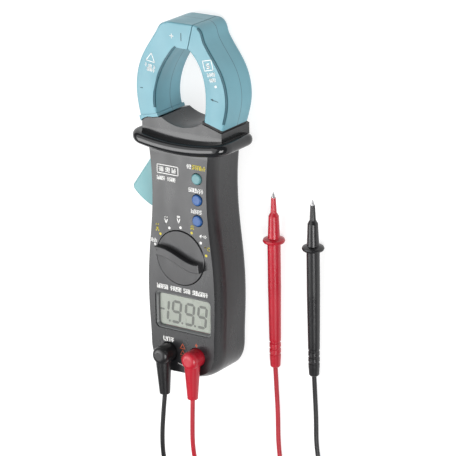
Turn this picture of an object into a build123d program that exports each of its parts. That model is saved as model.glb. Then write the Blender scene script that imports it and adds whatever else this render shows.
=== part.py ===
"""Mini digital clamp meter lying on its back, with two test leads.

Millimetres. The origin is on the back face, mid-way along the meter. +Z points out of the front
face, +Y towards the jaws and +X to the right of someone who reads the display.
"""

import math
import os

from build123d import *

# ---------------------------------------------------------------- driving dimensions
CASE_DEPTH = 29.4
CASE_BOTTOM = -96.6
CASE_TOP = 33.0
CASE_SPLIT = 10.2
BAND_START = 21.0
CREASE_INSET = 2.3
CAVITY_INSET = 4.0
REAR_WALL = 1.8
FRONT_WALL = 2.0
BACK_EDGE_RADIUS = 4.5

GUARD_THICK = 6.4
GUARD_MID_Y = 30.6
GUARD_END_Y = 34.4
GUARD_HALF_WIDTH = 30.6
GUARD_FRONT = 32.4
GUARD_CORNER = 8.0
GUARD_ROLL = 2.9

HEAD_HALF_WIDTH = 25.0
HEAD_FRONT = 26.0
HEAD_FRONT_EAR = 21.6
HEAD_REAR_EAR = 6.0
CRADLE_HALF_WIDTH = 12.6
CRADLE_TOP = 44.8
CRADLE_BOTTOM = 41.0

JAW_BACK = 2.0
JAW_FRONT = 26.0
JAW_PARTING = 12.5
JAW_TOP = 96.6
JAW_EDGE = 0.9
JAW_WALL = 1.8
JAW_GAP = 0.25
PIVOT_X = -19.5
PIVOT_Y = 36.0
PIVOT_RADIUS = 1.5
SHAFT_CLEARANCE = 0.05

LEVER_BACK = 8.4
LEVER_FRONT = 19.6

BOARD_BACK = 20.6
BOARD_THICK = 1.6
BOARD_FRONT = BOARD_BACK + BOARD_THICK

BUTTON_X = 11.4
BUTTON_YS = {"light": 15.8, "select": 4.3, "hold": -7.1}
BUTTON_RADIUS = 3.0
BUTTON_TOP = 30.5

DIAL_Y = -29.5
DIAL_RADIUS = 15.0
DIAL_OFF_ANGLE = 163.0
DIAL_STEP = 24.8
DIAL_POSITIONS = 7

SCREEN_X = 0.7
SCREEN_Y = -60.9
SCREEN_WIDTH = 35.8
SCREEN_HEIGHT = 20.8

JACK_X = 8.9
JACK_Y = -83.8
LEAD_DIAMETER = 2.5

CURVE_STEPS = 16

SPLIT_FOOT = (4.9, 83.5)
SPLIT_LEAN = 3.6 / 13.8
LEFT_BASE_GAP = 0.45
ROOT_OUTER = 22.6
ROOT_INNER = 15.6
ROOT_NECK = 18.2
ROOT_NECK_Y = 43.4
ROOT_TOP = 50.0
PIVOT_BOSS = 3.4
BEAD_WIDTH = 1.3
BEAD_DEPTH = 1.0
BEAD_SUNK = 0.25
LIP_PROUD = 0.4
CORE_INSET = 3.2
CORE_FOOT = 50.6
CORE_BACK = 6.5
CORE_FRONT = 21.5
WINDING_SPAN = (53.0, 68.0)
WINDING_DEPTH = 2.0
FIN_EDGE = 1.2
FIN_SLOT_LOW = -10.4
FIN_SLOT_TOP = 27.6
JAW_SLOT_LOW = 36.6
HEAD_CAVITY = 23.2
HEAD_LOW = 31.5
HEAD_CAVITY_TOP = 39.4
PIN_BOTTOM = 3.0
PIN_TOP = 24.0

DIAL_GAP = 0.35
BUTTON_HOLE = 3.3
JACK_MOUTH = 5.4
SCREEN_RECESS = 1.6

SCREW_PLACES = ((15.5, 24.0), (-15.8, -20.0), (16.5, -20.0))
SCREW_POST = 2.9
SCREW_CORE = 1.0
SCREW_SHANK = 1.1
SCREW_HEAD = 2.1
SCREW_HEAD_DEEP = 2.6
SCREW_GRIP = 8.0

COVER_HALF_WIDTH = 15.5
COVER_TOP = -41.0
COVER_GAP = 0.2
COVER_GRIPS = 5
COVER_GRIP_Y = -92.0

BUTTON_FLANGE_TOP = 27.0
BUTTON_STEM_BOTTOM = 25.2
DIAL_PROUD = 0.5
DIAL_HUB = 4.0
RIDGE_WIDTH = 4.8
RIDGE_TOP = 33.6
RIDGE_EDGE = 0.4
RIDGE_HALF_LENGTH = 14.0
RIDGE_END_ANGLE = 168.0
RIDGE_BEND_ANGLE = 160.0
ROTOR_RADIUS = 12.0
DETENT_AT = 12.95
ROTOR_TOP = 25.8
GLASS_BACK = 25.4
GLASS_FRONT = 26.8
JAW_BACK_EDGE = 1.6
PLUG_SKIRT_BOTTOM = 23.6
PROBE_NEEDLE = 1.1
PROBE_NEEDLE_END = 20.0
PROBE_GROOVE = 84.0
BOARD_TOP_Y = 26.0


BATTERY_RADIUS = 5.25
BATTERY_LENGTH = 44.5
BATTERY_X = 5.6
BATTERY_Z = 7.4
BATTERY_LOW = -89.6

PLUG_HEAD_RADIUS = 5.0
PLUG_PIN_RADIUS = 2.0
PLUG_HEAD_ABOVE_AXIS = 4.6
PLUG_REACH = 22.2
PLUG_END_RADIUS = 2.85
PLUG_AXIS_Z = {"black": 34.8, "red": 33.6}
PLUG_ANGLES = {"black": -1.1, "red": 0.5}
SLEEVE_BOTTOM = 14.0

PROBE_TIP_Y = 8.0
PROBE_TAIL_Y = -91.0
PROBE_GUARD_Y = -18.9
PROBE_GUARD_RADIUS = 5.95
PROBE_BODY_RADIUS = 3.5
PROBE_TAIL_RADIUS = 2.75
PROBE_AT_TIP_X = {"red": 44.1, "black": 68.1}
PROBE_AT_TAIL_X = {"red": 41.3, "black": 65.6}

COIL_RADII = (10.5, 18.0)
COIL_CENTRES = {"red": (28.0, -192.0), "black": (70.5, -201.0)}
COIL_HEIGHT = 5.15

# Hand-laid routes of the two leads: from the plug to its coil, and from the coil to the probe.
PLUG_ROUTES = {
    "red": [(8.71, -106.0, 33.6), (8.2, -120, 33.7), (7.8, -134, 33.3), (8.0, -148, 30.2),
            (8.8, -161, 21.2), (9.6, -172, 10.2), (10.1, -183, 2.3), (10.0, -192, 1.3)],
    "black": [(-8.47, -106.0, 34.8), (-10.1, -120, 34.9), (-11.3, -134, 34.6), (-12.6, -148, 31.5),
              (-13.3, -161, 22.5), (-13.4, -172, 11.0), (-12.6, -184, 2.4), (-9.6, -196, 1.3),
              (-3.4, -208.5, 1.3), (7.6, -217.0, 1.3), (22.0, -221.0, 1.3), (38.0, -221.6, 1.3),
              (54.5, -219.6, 1.3), (70.5, -219.0, 1.3)],
}
PROBE_ROUTES = {
    "red": [(46.0, -192, 3.85), (46.3, -179, 3.0), (45.3, -165, 1.6), (43.2, -150, 1.3),
            (41.6, -135, 1.3), (41.7, -119.5, 1.3), (41.2, -104, 1.7), (41.3, -91, 2.75)],
    "black": [(88.5, -201, 3.85), (88.6, -189, 3.1), (86.2, -176.5, 1.7), (80.6, -165.5, 1.3),
              (73.6, -155.5, 1.3), (67.8, -144.5, 1.3), (65.7, -131, 1.3), (65.8, -117, 1.3),
              (65.4, -103.5, 1.6), (65.6, -91, 2.75)],
}


# ---------------------------------------------------------------- small helpers
def block(x0, x1, y0, y1, z0, z1):
    """A box between two corners."""
    centre = ((x0 + x1) / 2, (y0 + y1) / 2, (z0 + z1) / 2)
    return Pos(*centre) * Box(x1 - x0, y1 - y0, z1 - z0)


def post(x, y, radius, z0, z1):
    """A cylinder along Z."""
    return Pos(x, y, (z0 + z1) / 2) * Cylinder(radius, z1 - z0)


def tube(x, y, outer, inner, z0, z1):
    """A ring along Z."""
    return post(x, y, outer, z0, z1) - post(x, y, inner, z0, z1)


def prism(face, z0, z1):
    """A flat face drawn at z = 0, extruded from z0 to z1."""
    return extrude(Pos(0, 0, z0) * face, z1 - z0)


def rounded_plate(x, y, width, height, corner, z0, z1):
    """A plate with rounded corners."""
    return prism(Pos(x, y) * RectangleRounded(width, height, corner), z0, z1)


def edges_at(shape, z):
    """The edges that lie wholly in the plane at height z."""
    return [e for e in shape.edges() if abs(e.bounding_box().min.Z - z) < 0.01
            and abs(e.bounding_box().max.Z - z) < 0.01]


def mirrored_x(shape):
    """The same shape on the other side of the meter's middle plane."""
    return mirror(shape, about=Plane.YZ)


# ---------------------------------------------------------------- case outline
def case_side():
    """Right side of the case in plan: a waist, a wide lower body and a rounded end."""
    stations = [(21.4, CASE_TOP), (19.4, 11.0), (20.0, -8.0), (22.5, -32.0), (23.3, -54.0),
                (22.3, -78.0), (20.3, -89.0), (14.4, -95.0), (0, CASE_BOTTOM)]
    return Spline(*stations, tangents=[(-0.16, -1), (-1, 0)])


def beside(curve, share, distance):
    """Point to the right of a curve's direction of travel."""
    at = curve @ share
    along = curve % share
    return (at.X + along.Y * distance, at.Y - along.X * distance)


def offset_curve(curve, distance, start=None, end=None, tangents=()):
    """A curve beside another one; its end points can be set by hand."""
    inner = [beside(curve, step / CURVE_STEPS, distance) for step in range(1, CURVE_STEPS)]
    start = start or beside(curve, 0, distance)
    end = end or beside(curve, 1, distance)
    return Spline(start, *inner, end, tangents=tangents)


def case_outline(inset):
    """Face of the case in plan, pulled in by the inset all round except at the top."""
    side = case_side()
    start = ((side @ 0).X - inset, CASE_TOP)
    end = (0, CASE_BOTTOM + inset)
    right = offset_curve(side, inset, start, end, tangents=[(-0.16, -1), (-1, 0)])
    left = mirrored_x(right)
    top = Line(right @ 0, left @ 0)
    return make_face([right, left, top])


def case_front_body():
    """Front half of the case without the head: straight wall, then the rounded side band."""
    wall = prism(case_outline(0), CASE_SPLIT, BAND_START)
    sections = []
    for share in (0, 0.5, 1):
        height = BAND_START + share * (CASE_DEPTH - BAND_START)
        sections.append(Pos(0, 0, height) * case_outline(CREASE_INSET * share ** 2))
    return wall + loft(sections)


def case_rear_body():
    """Rear half of the case without the head, its back edge rounded."""
    body = prism(case_outline(0), 0, CASE_SPLIT)
    rim = [e for e in edges_at(body, 0) if e.center().Y < CASE_TOP - 1]
    return fillet(rim, BACK_EDGE_RADIUS)


def guard(z0, z1):
    """Finger guard: a rolled flange that sags like a smile and wraps round the case."""
    sag = GUARD_END_Y - GUARD_MID_Y
    half = GUARD_THICK / 2
    top = ThreePointArc((-GUARD_HALF_WIDTH, GUARD_MID_Y + sag + half), (0, GUARD_MID_Y + half),
                        (GUARD_HALF_WIDTH, GUARD_MID_Y + sag + half))
    low = ThreePointArc((-GUARD_HALF_WIDTH, GUARD_MID_Y + sag - half), (0, GUARD_MID_Y - half),
                        (GUARD_HALF_WIDTH, GUARD_MID_Y + sag - half))
    band = make_face([top, low, Line(top @ 0, low @ 0), Line(top @ 1, low @ 1)])
    wrap = Plane.XZ * Pos(0, GUARD_FRONT / 2) * RectangleRounded(
        2 * GUARD_HALF_WIDTH, GUARD_FRONT, GUARD_CORNER)
    ring = prism(band, 0, GUARD_FRONT) & Pos(0, 60, 0) * extrude(wrap, 60, both=True)
    rims = [e for e in ring.edges() if e.bounding_box().size.Y < 8
            and not (e.geom_type == GeomType.LINE and e.bounding_box().size.Y > GUARD_THICK - 1)
            or e.bounding_box().size.X > 30]
    ring = fillet(rims, GUARD_ROLL)
    return ring & block(-40, 40, 0, 60, z0, z1)


def head_outline():
    """Plan of the head: shoulders under the jaws and the concave cradle between them."""
    hip = (-HEAD_HALF_WIDTH, HEAD_LOW)
    shoulder = ThreePointArc((-HEAD_HALF_WIDTH, 41.2), (-22.4, 43.0), (-18.2, 43.6))
    left = [Line(hip, shoulder @ 0), shoulder,
            Line(shoulder @ 1, (-CRADLE_HALF_WIDTH, CRADLE_TOP))]
    cradle = ThreePointArc((-CRADLE_HALF_WIDTH, CRADLE_TOP), (0, CRADLE_BOTTOM),
                           (CRADLE_HALF_WIDTH, CRADLE_TOP))
    right = [Line(cradle @ 1, (HEAD_HALF_WIDTH, 41.2)),
             Line((HEAD_HALF_WIDTH, 41.2), (HEAD_HALF_WIDTH, hip[1]))]
    return make_face([*left, cradle, *right, Line((HEAD_HALF_WIDTH, hip[1]), hip)])


# ---------------------------------------------------------------- jaws
def split_x(y):
    """Where the joint line between the two jaws lies at height y."""
    return SPLIT_FOOT[0] + (y - SPLIT_FOOT[1]) * SPLIT_LEAN


def jaw_region(inset):
    """Both closed jaws in plan, with their walls pulled in by the inset."""
    left = Spline((-25.2, 41.0), (-28.2, 57.0), (-24.7, 75.1), (-14.3, 91.6), (-4.2, JAW_TOP),
                  tangents=[(-0.3, 1), (1, 0)])
    right = Spline((25.2, 41.0), (28.9, 57.0), (25.0, 74.0), (14.4, 91.4), (7.0, JAW_TOP),
                   tangents=[(0.3, 1), (-1, 0)])
    outer_left = offset_curve(left, inset, (-25.2 + inset, 41), (-4.2, JAW_TOP - inset),
                              tangents=[(-0.3, 1), (1, 0)])
    outer_right = offset_curve(right, -inset, (25.2 - inset, 41), (7.0, JAW_TOP - inset),
                               tangents=[(0.3, 1), (-1, 0)])
    outer = make_face([outer_left, outer_right, Line(outer_left @ 1, outer_right @ 1),
                       Line(outer_left @ 0, outer_right @ 0)])
    inner_left = Spline((-13.2, 41.0), (-16.2, 55.5), (-13.3, 67.0), (-2.5, 83.4))
    inner_right = Spline((13.2, 41.0), (15.3, 57.0), (13.6, 70.5), (4.9, 83.4))
    hole_left = offset_curve(inner_left, -inset, (-13.2 - inset, 41), (-2.5, 83.4 + inset))
    hole_right = offset_curve(inner_right, inset, (13.2 + inset, 41), (4.9, 83.4 + inset))
    hole = make_face([hole_left, hole_right, Line(hole_left @ 1, hole_right @ 1),
                      Line(hole_left @ 0, hole_right @ 0)])
    return outer - hole


def jaw_face(side, inset):
    """One jaw in plan: side is -1 for the moving left jaw and +1 for the fixed right jaw."""
    gap = JAW_GAP + inset
    edge = Polyline((side * 40, 30), (split_x(30) + side * gap, 30),
                    (split_x(110) + side * gap, 110), (side * 40, 110), close=True)
    face = jaw_region(inset) & make_face(edge)
    if side < 0:
        return face - offset(head_outline(), LEFT_BASE_GAP + inset)
    lift = inset * 1.04
    under = Polyline((10, 47.4 + lift), (32, 41.0 + lift), (32, 30), (0, 30), (0, 47.4), close=True)
    return face - make_face(under)


def jaw_shell(side, z0, z1, edge_z, radius):
    """One moulded half of a jaw's shell, open towards the other half."""
    outer = prism(jaw_face(side, 0), z0, z1)
    rims = [e for e in edges_at(outer, edge_z)
            if e.length > 25 or e.geom_type == GeomType.LINE and e.center().Y > JAW_TOP - 1]
    outer = fillet(rims, radius)
    low = z0 if edge_z == z1 else z0 + JAW_WALL
    high = z1 if edge_z == z0 else z1 - JAW_WALL
    hollow = prism(jaw_face(side, JAW_WALL), low, high)
    return outer - hollow - root_slot(side)


def root_slot(side):
    """Where a jaw's root passes through the foot of its shell."""
    x0, x1 = sorted((side * ROOT_OUTER, side * ROOT_NECK))
    return block(x0, x1, 38, ROOT_TOP, LEVER_BACK, LEVER_FRONT)


def bead_strip(side, low, high):
    """Plan of the bead: along the inner edge of the left jaw, the outer edge of the right jaw."""
    strip = jaw_face(side, low) - jaw_face(side, high)
    if side < 0:
        zone = Polyline((-19.5, 49.5), (-8, 49.5), (-1.0, 83.0), (-9, 88), close=True)
    else:
        zone = Polyline((20, 47.2), (40, 44.4), (40, 95.6), (11, 95.6), (11, 88), close=True)
    pieces = (strip & make_face(zone)).faces()
    return max(pieces, key=lambda piece: piece.area)


def bead_groove(side):
    """Rebate in a jaw's front edge that takes the bead."""
    return prism(bead_strip(side, -1.0, BEAD_WIDTH), JAW_FRONT - BEAD_DEPTH, JAW_FRONT + 1)


def jaw_bead(side):
    """Dark bead in its rebate, a little below the jaw's face and wall."""
    strip = bead_strip(side, BEAD_SUNK, BEAD_WIDTH)
    return prism(strip, JAW_FRONT - BEAD_DEPTH, JAW_FRONT - BEAD_SUNK)


def left_lip():
    """Lip round the foot of the moving jaw, slightly proud of its walls."""
    foot = make_face(Polyline((-40, 30), (-40, 40.5), (-9, 48.0), (-9, 30), close=True))
    face = (jaw_region(-LIP_PROUD) & foot) - offset(head_outline(), LEFT_BASE_GAP)
    return prism(face, JAW_BACK - LIP_PROUD, JAW_FRONT + LIP_PROUD)


def jaw_core(side):
    """Laminated iron core inside a jaw, its pole face at the joint line."""
    face = jaw_face(side, CORE_INSET) & make_face(
        Polyline((-40, CORE_FOOT), (40, CORE_FOOT), (40, 110), (-40, 110), close=True))
    return prism(face, CORE_BACK, CORE_FRONT)


def jaw_winding(side):
    """Pick-up coil wound on the middle of a core."""
    low, high = WINDING_SPAN
    band = make_face(Polyline((-40, low), (40, low), (40, high), (-40, high), close=True))
    face = jaw_face(side, JAW_WALL + 0.2) & band
    solid = prism(face, CORE_BACK - WINDING_DEPTH, CORE_FRONT + WINDING_DEPTH)
    return solid - prism(jaw_face(side, CORE_INSET) & band, CORE_BACK, CORE_FRONT)


def fin_outline():
    """Plan of the trigger fin outside the case, with the short arm that carries it inside."""
    top = Line((-19.9, 26.5), (-36.2, 3.4))
    tip = ThreePointArc((-36.2, 3.4), (-36.9, 1.4), (-35.8, -0.6))
    low = ThreePointArc((-35.8, -0.6), (-28.4, -6.2), (-20.0, -9.2))
    inner = Polyline((-20.0, -9.2), (-15.5, -9.2), (-13.4, -2.0), (-12.0, 8.0), (-11.6, 20.0),
                     (-13.0, 27.0), (-16.1, 27.0), (-19.9, 26.5))
    return make_face([top, tip, low, *inner.edges()])


def jaw_lever():
    """Root, pivot boss, arm and trigger fin of the moving jaw, one moulding."""
    fin = prism(fin_outline(), LEVER_BACK, LEVER_FRONT)
    rims = [e for e in edges_at(fin, LEVER_FRONT) + edges_at(fin, LEVER_BACK) if e.center().X < -22]
    fin = fillet(rims, FIN_EDGE)
    arm = Polyline((-ROOT_OUTER, ROOT_TOP), (-ROOT_OUTER, PIVOT_Y), (-21.0, 32.8), (-16.1, 31.8),
                   (-16.1, 27.0), (-13.0, 27.0), (-ROOT_INNER, 37.0), (-ROOT_INNER, ROOT_NECK_Y),
                   (-ROOT_NECK, ROOT_NECK_Y), (-ROOT_NECK, ROOT_TOP), close=True)
    arm = prism(make_face(arm), LEVER_BACK, LEVER_FRONT)
    boss = post(PIVOT_X, PIVOT_Y, PIVOT_BOSS, LEVER_BACK, LEVER_FRONT)
    return fin + arm + boss - post(PIVOT_X, PIVOT_Y, PIVOT_RADIUS + SHAFT_CLEARANCE, 0, 30)


def right_root():
    """Root of the fixed jaw, held in the head by its own pin."""
    root = block(ROOT_INNER, ROOT_OUTER, HEAD_LOW + 0.2, ROOT_NECK_Y, LEVER_BACK, LEVER_FRONT)
    root += block(ROOT_NECK, ROOT_OUTER, HEAD_LOW + 0.2, ROOT_TOP, LEVER_BACK, LEVER_FRONT)
    return root - post(-PIVOT_X, PIVOT_Y, PIVOT_RADIUS, 0, 30)


def right_seal():
    """Black wedge between the fixed jaw and the head's right shoulder."""
    wedge = make_face(Polyline((12.9, 45.0), (13.1, 46.3), (25.3, 42.8), (24.8, 41.5), close=True))
    solid = prism(wedge, JAW_BACK + 0.4, JAW_FRONT - 0.4)
    return solid - block(ROOT_INNER, ROOT_OUTER, 38, ROOT_TOP, LEVER_BACK, LEVER_FRONT)


# ---------------------------------------------------------------- case halves
def head_block(z0, z1):
    """Solid block of the head between two heights."""
    return prism(head_outline(), z0, z1)


def cavity(z0, z1):
    """Hollow of the case: the lower body and the smaller space inside the head."""
    lower = prism(case_outline(CAVITY_INSET), z0, z1)
    head_low = max(z0, HEAD_REAR_EAR)
    head_high = min(z1, HEAD_FRONT_EAR)
    upper = block(-HEAD_CAVITY, HEAD_CAVITY, HEAD_LOW, HEAD_CAVITY_TOP, head_low, head_high)
    return lower + upper


def jaw_cutaways():
    """Openings for the moving jaw's root, the fixed jaw's root and the trigger fin."""
    left = block(-40, -14.4, JAW_SLOT_LOW, 60, LEVER_BACK - 0.4, LEVER_FRONT + 0.4)
    right = block(ROOT_INNER, ROOT_OUTER, 38.4, 60, LEVER_BACK, LEVER_FRONT)
    fin = block(-40, -12, FIN_SLOT_LOW, FIN_SLOT_TOP, LEVER_BACK - 0.4, LEVER_FRONT + 0.4)
    return left + right + fin


def front_cutouts():
    """Holes in the front face for buttons, dial, display and jacks."""
    cut = post(0, DIAL_Y, DIAL_RADIUS + DIAL_GAP, 20, 40)
    for y in BUTTON_YS.values():
        cut += post(BUTTON_X, y, BUTTON_HOLE, 20, 40)
    for x in (-JACK_X, JACK_X):
        cut += post(x, JACK_Y, JACK_MOUTH, 20, 40)
    recess_floor = CASE_DEPTH - SCREEN_RECESS
    recess = rounded_plate(SCREEN_X, SCREEN_Y, SCREEN_WIDTH, SCREEN_HEIGHT, 3.0, recess_floor, 40)
    window = rounded_plate(SCREEN_X, SCREEN_Y, SCREEN_WIDTH - 2.6, SCREEN_HEIGHT - 2.6, 2.0, 20, 40)
    return cut + recess + window


def front_case():
    """Front half: face, side bands, front of the guard, and the plate in front of the jaw roots."""
    shell = case_front_body() + head_block(CASE_SPLIT, HEAD_FRONT) + guard(CASE_SPLIT, 40)
    shell -= cavity(CASE_SPLIT, CASE_DEPTH - FRONT_WALL)
    shell -= jaw_cutaways()
    shell -= front_cutouts()
    for x, y in SCREW_PLACES:
        shell += post(x, y, SCREW_POST, CASE_SPLIT, BOARD_BACK)
        shell -= post(x, y, SCREW_CORE, 0, CASE_SPLIT + SCREW_GRIP)
    shell -= post(PIVOT_X, PIVOT_Y, PIVOT_RADIUS, 0, PIN_TOP)
    return shell - post(-PIVOT_X, PIVOT_Y, PIVOT_RADIUS, 0, PIN_TOP)


def rear_case():
    """Rear half: back, rear of the guard, battery bay and screw holes."""
    shell = case_rear_body() + head_block(0, CASE_SPLIT) + guard(0, CASE_SPLIT)
    shell -= cavity(REAR_WALL, CASE_SPLIT)
    shell -= jaw_cutaways()
    shell -= cover_space(COVER_GAP)
    for x, y in SCREW_PLACES:
        shell += post(x, y, SCREW_POST, REAR_WALL, CASE_SPLIT)
        shell -= post(x, y, SCREW_SHANK + 0.2, 0, CASE_SPLIT)
        shell -= post(x, y, SCREW_HEAD + 0.2, 0, SCREW_HEAD_DEEP)
    shell -= post(PIVOT_X, PIVOT_Y, PIVOT_RADIUS, PIN_BOTTOM, 30)
    return shell - post(-PIVOT_X, PIVOT_Y, PIVOT_RADIUS, PIN_BOTTOM, 30)


def cover_space(gap):
    """Slot of the battery cover, open at the bottom end of the case."""
    half = COVER_HALF_WIDTH + gap
    return block(-half, half, CASE_BOTTOM - 1, COVER_TOP + gap, -1, REAR_WALL)


def battery_cover():
    """Sliding battery cover with thumb grips, its outer side part of the case's back."""
    plate = case_rear_body() & cover_space(0)
    for step in range(COVER_GRIPS):
        y = COVER_GRIP_Y + step * 2.4
        plate -= block(-8, 8, y, y + 1.2, -1, 0.5)
    return plate


def case_screws():
    """Three identical self-tapping screws that hold the case halves together."""
    screws = []
    for x, y in SCREW_PLACES:
        head = post(x, y, SCREW_HEAD, SCREW_HEAD_DEEP - 1.6, SCREW_HEAD_DEEP)
        cross = block(x - 1.3, x + 1.3, y - 0.3, y + 0.3, 0, SCREW_HEAD_DEEP - 0.8)
        cross += block(x - 0.3, x + 0.3, y - 1.3, y + 1.3, 0, SCREW_HEAD_DEEP - 0.8)
        shank = post(x, y, SCREW_CORE, SCREW_HEAD_DEEP, CASE_SPLIT + SCREW_GRIP - 1)
        screws.append(head + shank - cross)
    return Compound(children=screws)


# ---------------------------------------------------------------- controls and display
def button_cap(y):
    """Domed push button with a flange that keeps it behind the face."""
    crown = post(BUTTON_X, y, BUTTON_RADIUS, BUTTON_FLANGE_TOP, BUTTON_TOP)
    crown = fillet(edges_at(crown, BUTTON_TOP), 0.9)
    flange = post(BUTTON_X, y, BUTTON_RADIUS + 0.8, BUTTON_FLANGE_TOP - 1.0, BUTTON_FLANGE_TOP)
    stem = post(BUTTON_X, y, 1.2, BUTTON_STEM_BOTTOM, BUTTON_FLANGE_TOP)
    return crown + flange + stem


def key_switches():
    """Three tact switches on the board, under the buttons."""
    switches = []
    for y in BUTTON_YS.values():
        base = block(BUTTON_X - 2.6, BUTTON_X + 2.6, y - 2.6, y + 2.6, BOARD_FRONT, BOARD_FRONT + 1.4)
        switches.append(base + post(BUTTON_X, y, 1.3, BOARD_FRONT + 1.4, BUTTON_STEM_BOTTOM - 1.05))
    return Compound(children=switches)


def polar(angle, radius, x=0.0, y=0.0):
    """Point at an angle in degrees and a radius from a centre."""
    return (x + radius * math.cos(math.radians(angle)), y + radius * math.sin(math.radians(angle)))


def dial_knob():
    """Selector disc with its curved grip ridge, pointing at the off position."""
    disc = post(0, DIAL_Y, DIAL_RADIUS, CASE_DEPTH - 3.0, CASE_DEPTH + DIAL_PROUD)
    disc = chamfer(edges_at(disc, CASE_DEPTH + DIAL_PROUD), 0.35)
    ends = [polar(RIDGE_END_ANGLE + turn, RIDGE_HALF_LENGTH) for turn in (0, 180)]
    bends = [polar(RIDGE_BEND_ANGLE + turn, RIDGE_HALF_LENGTH / 2) for turn in (0, 180)]
    spine = Spline(ends[0], bends[0], bends[1], ends[1])
    up = Spline(*[beside(spine, share / 4, -RIDGE_WIDTH / 2) for share in range(5)])
    down = Spline(*[beside(spine, share / 4, RIDGE_WIDTH / 2) for share in range(5)])
    ridge = make_face([up, down, Line(up @ 0, down @ 0), Line(up @ 1, down @ 1)])
    ridge = Pos(0, DIAL_Y) * prism(ridge, CASE_DEPTH, RIDGE_TOP)
    ridge = chamfer(edges_at(ridge, RIDGE_TOP), RIDGE_EDGE)
    hub = post(0, DIAL_Y, DIAL_HUB, ROTOR_TOP, CASE_DEPTH - 2.5)
    pointer = Pos(*polar(DIAL_OFF_ANGLE, DIAL_RADIUS - 2.2, 0, DIAL_Y), RIDGE_TOP) * Cylinder(0.45, 0.5)
    return disc + ridge + hub - pointer


def dial_rotor():
    """Disc behind the face that carries the contacts and the detent notches."""
    rotor = tube(0, DIAL_Y, ROTOR_RADIUS, DIAL_HUB + 0.02, ROTOR_TOP - 2.4, ROTOR_TOP)
    rotor += post(0, DIAL_Y, DIAL_HUB + 0.5, ROTOR_TOP - 2.4, ROTOR_TOP - 0.02)
    for step in range(DIAL_POSITIONS):
        x, y = polar(step * DIAL_STEP, DETENT_AT, 0, DIAL_Y)
        rotor -= post(x, y, 1.4, ROTOR_TOP - 3, ROTOR_TOP + 1)
    return rotor


def dial_wipers():
    """Spring contacts under the rotor that run on the board's tracks."""
    wipers = []
    quarter = block(-1.5, 12, DIAL_Y + 1, DIAL_Y + 14, 20, 30)
    for step in range(3):
        radius = 4.0 + 3 * step
        ring = tube(0, DIAL_Y, radius + 0.5, radius - 0.5, BOARD_FRONT + 0.1, ROTOR_TOP - 2.4)
        wipers.append(ring & quarter)
    return Compound(children=wipers)


def detent():
    """Steel ball at the first notch, just clear of the rim, and the leaf spring behind it."""
    x, y = (DETENT_AT, DIAL_Y)
    ball = Pos(x, y, ROTOR_TOP - 1.2) * Sphere(0.85)
    leaf = block(x + 0.9, x + 1.3, y - 5, y + 5, ROTOR_TOP - 2.2, ROTOR_TOP - 0.2)
    foot = block(x + 0.9, x + 2.4, y - 5.6, y - 4.4, BOARD_FRONT, ROTOR_TOP - 0.2)
    return ball, leaf + foot


def screen_layer(shrink, corner, z0, z1):
    """One flat layer of the display stack, narrower than the recess by the shrink."""
    width, height = SCREEN_WIDTH - shrink, SCREEN_HEIGHT - shrink
    return rounded_plate(SCREEN_X, SCREEN_Y, width, height, corner, z0, z1)


def screen_frame():
    """Bevelled lip round the display recess."""
    floor = CASE_DEPTH - SCREEN_RECESS
    top = floor + 0.9
    opening = screen_layer(2.6, 2.0, floor - 1, top + 1)
    ring = screen_layer(0.1, 2.95, floor, top) - opening
    inside = [e for e in edges_at(ring, top) if Vertex(*e.center()).distance_to(opening) < 0.05]
    return chamfer(inside, 0.7) if inside else ring


def contact_strips():
    """Two rubber strips that join the display glass to the board."""
    strips = []
    for side in (-1, 1):
        y = SCREEN_Y + side * (SCREEN_HEIGHT / 2 - 1.2)
        strips.append(block(SCREEN_X - 14, SCREEN_X + 14, y - 0.8, y + 0.8, BOARD_FRONT, GLASS_BACK))
    return Compound(children=strips)


# ---------------------------------------------------------------- electronics
def main_board():
    """Circuit board with clearance holes for the screw posts, jacks and dial hub."""
    board = prism(case_outline(CAVITY_INSET + 0.4), BOARD_BACK, BOARD_FRONT)
    board = board & block(-40, 40, CASE_BOTTOM, BOARD_TOP_Y, 0, 40)
    board -= block(-40, -14.4, -10, 40, 0, 40)
    for x in (-JACK_X, JACK_X):
        board -= post(x, JACK_Y, 3.2, 0, 40)
    return board


def board_parts():
    """Small parts on the back of the board: capacitors, resistors, fuse and shunt."""
    parts = []
    for row in range(4):
        for column in range(3):
            x = 6.0 + column * 3.6
            y = 16.0 - row * 5.0
            parts.append(block(x, x + 1.6, y, y + 3.2, BOARD_BACK - 1.1, BOARD_BACK))
    parts.append(Pos(-7, -45, BOARD_BACK - 2.6) * Rot(0, 90, 0) * Cylinder(2.6, 14))
    parts.append(post(12.5, -30, 3.0, BOARD_BACK - 6.5, BOARD_BACK))
    parts.append(post(5.5, -30, 2.5, BOARD_BACK - 5.5, BOARD_BACK))
    return Compound(children=parts)


def controller_chip():
    """The meter's controller: a square package with leads on its four sides."""
    chip = block(-6, 6, -24, -12, BOARD_BACK - 1.8, BOARD_BACK - 0.3)
    for step in range(12):
        at = -5.2 + step * 0.95
        chip += block(at, at + 0.4, -24.9, -11.1, BOARD_BACK - 1.0, BOARD_BACK - 0.7)
        chip += block(-6.9, 6.9, -18 + at, -18 + at + 0.4, BOARD_BACK - 1.0, BOARD_BACK - 0.7)
    return chip


def battery(side):
    """AAA cell with its raised positive end; the two cells lie opposite ways."""
    mid = BATTERY_LOW + BATTERY_LENGTH / 2
    cell = Rot(90, 0, 0) * Cylinder(BATTERY_RADIUS, BATTERY_LENGTH - 0.8)
    nub = Pos(0, side * BATTERY_LENGTH / 2 - side * 0.4, 0) * Rot(90, 0, 0) * Cylinder(1.9, 0.8)
    return Pos(side * BATTERY_X, mid, BATTERY_Z) * (cell + nub)


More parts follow.
